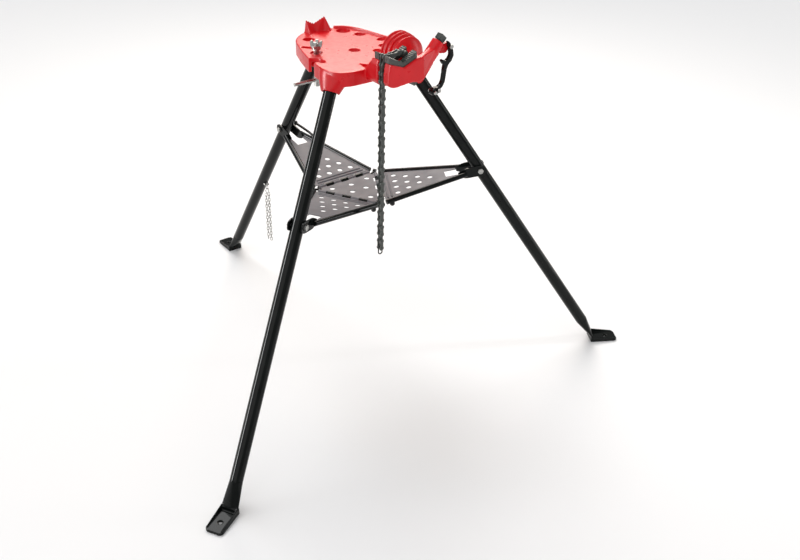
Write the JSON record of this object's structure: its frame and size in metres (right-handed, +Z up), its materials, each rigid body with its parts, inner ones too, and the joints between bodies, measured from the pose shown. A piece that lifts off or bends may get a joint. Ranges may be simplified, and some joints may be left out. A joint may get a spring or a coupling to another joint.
{
  "type": "tripod chain vise stand",
  "caption": "Portable tripod stand with a red cast deck, chain vise, pipe rest, bending dome, ceiling brace screw and folding tool tray.",
  "frame": {"origin": "bottom centre of the stand's bounding box, on the floor", "axes": "+Z up, +X along the pipe towards the vise jaws, +Y towards the screw barrel side"},
  "size_m": [1.179, 1.3286, 0.9383],
  "materials": {
    "red_enamel": "gloss enamel on cast iron",
    "black_enamel": "gloss",
    "grey_sheet": "satin",
    "black_oxide": "oiled black oxide",
    "bright_zinc": "zinc plated",
    "black_rubber": "matte"
  },
  "bodies": {
    "stand_base": {"base_casting": "red_enamel", "leg_hip_pins": "bright_zinc", "jaw_rear": "black_oxide", "jaw_front": "black_oxide", "jaw_screws": "black_oxide", "chain_over_jaws": "black_oxide", "lever_pin": "bright_zinc"},
    "tray_middle": {"tray_middle_panel": "grey_sheet", "tray_hinge_rods": "black_enamel", "tray_corner_caps": "black_enamel"},
    "leg_left": {"leg_left_tube": "black_enamel", "leg_left_foot": "black_enamel"},
    "tray_left_wing": {"tray_left_wing_sheet": "grey_sheet", "tray_left_wing_frame": "black_enamel", "tray_left_wing_knuckles": "black_enamel", "tray_left_wing_bolts": "bright_zinc", "tray_left_wing_stops": "black_rubber"},
    "leg_right": {"leg_right_tube": "black_enamel", "leg_right_foot": "black_enamel"},
    "tray_right_wing": {"tray_right_wing_sheet": "grey_sheet", "tray_right_wing_frame": "black_enamel", "tray_right_wing_knuckles": "black_enamel", "tray_right_wing_bolts": "bright_zinc", "tray_right_wing_stops": "black_rubber"},
    "leg_rear": {"leg_rear_tube": "black_enamel", "leg_rear_foot": "black_enamel", "lock_chain_eye": "bright_zinc"},
    "tray_rear_wing": {"tray_rear_wing_sheet": "grey_sheet", "tray_rear_wing_frame": "black_enamel", "tray_rear_wing_knuckles": "black_enamel", "tray_rear_wing_bolts": "bright_zinc", "tray_rear_wing_stops": "black_rubber", "tray_latch_pin": "bright_zinc"},
    "chain_carriage": {"chain_clevis": "black_oxide", "clevis_pin": "black_oxide", "chain_anchor_run": "black_oxide"},
    "chain_screw": {"chain_screw": "black_oxide"},
    "chain_tail_1": {"chain_tail_1": "black_oxide"},
    "chain_tail_2": {"chain_tail_2": "black_oxide"},
    "chain_tail_3": {"chain_tail_3": "black_oxide"},
    "chain_tail_4": {"chain_tail_4": "black_oxide", "chain_end_ring": "black_oxide"},
    "swing_lever": {"swing_lever": "black_enamel", "lever_bolts": "bright_zinc"},
    "brace_crown": {"brace_crown": "bright_zinc"},
    "brace_screw": {"brace_screw": "bright_zinc", "brace_tee_bar": "bright_zinc"},
    "lock_chain": {"lock_chain": "bright_zinc"},
    "tray_latch": {"tray_latch": "black_enamel"}
  },
  "joints": [
    {"name": "tray_lift", "type": "slide", "parent": "stand_base", "child": "tray_middle", "axis": [0, 0, 1], "range_m": [0, 0.215]},
    {"name": "leg_left_fold", "type": "hinge", "parent": "stand_base", "child": "leg_left", "pos_m": [0.25887, -0.11172, 0.838], "axis": [0.866, 0.5, 0], "range_deg": [0, 25]},
    {"name": "tray_left_wing_fold", "type": "hinge", "parent": "tray_middle", "child": "tray_left_wing", "pos_m": [0.22287, -0.04936, 0.515], "axis": [0.866, 0.5, 0], "range_deg": [0, 71.84]},
    {"name": "leg_right_fold", "type": "hinge", "parent": "stand_base", "child": "leg_right", "pos_m": [0.25887, 0.11172, 0.838], "axis": [-0.866, 0.5, 0], "range_deg": [0, 25]},
    {"name": "tray_right_wing_fold", "type": "hinge", "parent": "tray_middle", "child": "tray_right_wing", "pos_m": [0.22287, 0.04936, 0.515], "axis": [-0.866, 0.5, 0], "range_deg": [0, 71.84]},
    {"name": "leg_rear_fold", "type": "hinge", "parent": "stand_base", "child": "leg_rear", "pos_m": [0.03937, 0, 0.838], "axis": [0, -1, 0], "range_deg": [0, 25]},
    {"name": "tray_rear_wing_fold", "type": "hinge", "parent": "tray_middle", "child": "tray_rear_wing", "pos_m": [0.13737, 0, 0.515], "axis": [0, -1, 0], "range_deg": [0, 66.96]},
    {"name": "chain_screw_travel", "type": "slide", "parent": "stand_base", "child": "chain_carriage", "axis": [0, 0.6691, 0.7431], "range_m": [0, 0.008]},
    {"name": "chain_screw_turn", "type": "hinge", "parent": "chain_carriage", "child": "chain_screw", "pos_m": [0.35437, 0.118, 0.92], "axis": [0, 0.6691, 0.7431], "range_deg": [0, 720]},
    {"name": "chain_swing_1", "type": "hinge", "parent": "stand_base", "child": "chain_tail_1", "pos_m": [0.35437, -0.04089, 0.87431], "axis": [1, 0, 0], "range_deg": [-10, 10]},
    {"name": "chain_swing_2", "type": "hinge", "parent": "chain_tail_1", "child": "chain_tail_2", "pos_m": [0.35437, -0.04089, 0.75791], "axis": [1, 0, 0], "range_deg": [-8, 8]},
    {"name": "chain_swing_3", "type": "hinge", "parent": "chain_tail_2", "child": "chain_tail_3", "pos_m": [0.35437, -0.04089, 0.64151], "axis": [1, 0, 0], "range_deg": [-8, 8]},
    {"name": "chain_swing_4", "type": "hinge", "parent": "chain_tail_3", "child": "chain_tail_4", "pos_m": [0.35437, -0.04089, 0.52511], "axis": [1, 0, 0], "range_deg": [-8, 8]},
    {"name": "lever_swing", "type": "hinge", "parent": "stand_base", "child": "swing_lever", "pos_m": [0.36637, 0.142, 0.908], "axis": [1, 0, 0], "range_deg": [0, 75]},
    {"name": "brace_lift", "type": "slide", "parent": "stand_base", "child": "brace_crown", "axis": [0, 0, 1], "range_m": [-0.01, 0.025]},
    {"name": "brace_turn", "type": "hinge", "parent": "brace_crown", "child": "brace_screw", "pos_m": [0.13737, -0.075, 0.802], "axis": [0, 0, 1], "range_deg": [-720, 1800]},
    {"name": "lock_chain_swing", "type": "hinge", "parent": "leg_rear", "child": "lock_chain", "pos_m": [-0.27343, 0, 0.33491], "axis": [0, 1, 0], "range_deg": [-12, 12]},
    {"name": "tray_latch_turn", "type": "hinge", "parent": "tray_rear_wing", "child": "tray_latch", "pos_m": [-0.14232, 0.0278, 0.57123], "axis": [0, -1, 0], "range_deg": [0, 60]}
  ],
  "couplings": [
    {"joint": "leg_left_fold", "follows": "tray_lift", "rad_per_m": 2.0295},
    {"joint": "tray_left_wing_fold", "follows": "tray_lift", "rad_per_m": 5.8316},
    {"joint": "leg_right_fold", "follows": "tray_lift", "rad_per_m": 2.0295},
    {"joint": "tray_right_wing_fold", "follows": "tray_lift", "rad_per_m": 5.8316},
    {"joint": "leg_rear_fold", "follows": "tray_lift", "rad_per_m": 2.0295},
    {"joint": "tray_rear_wing_fold", "follows": "tray_lift", "rad_per_m": 5.4354},
    {"joint": "chain_screw_turn", "follows": "chain_screw_travel", "rad_per_m": 1570.8},
    {"joint": "chain_swing_2", "follows": "chain_swing_1", "ratio": 0.8},
    {"joint": "chain_swing_3", "follows": "chain_swing_1", "ratio": 0.8},
    {"joint": "chain_swing_4", "follows": "chain_swing_1", "ratio": 0.8},
    {"joint": "brace_turn", "follows": "brace_lift", "rad_per_m": 1256.6}
  ]
}
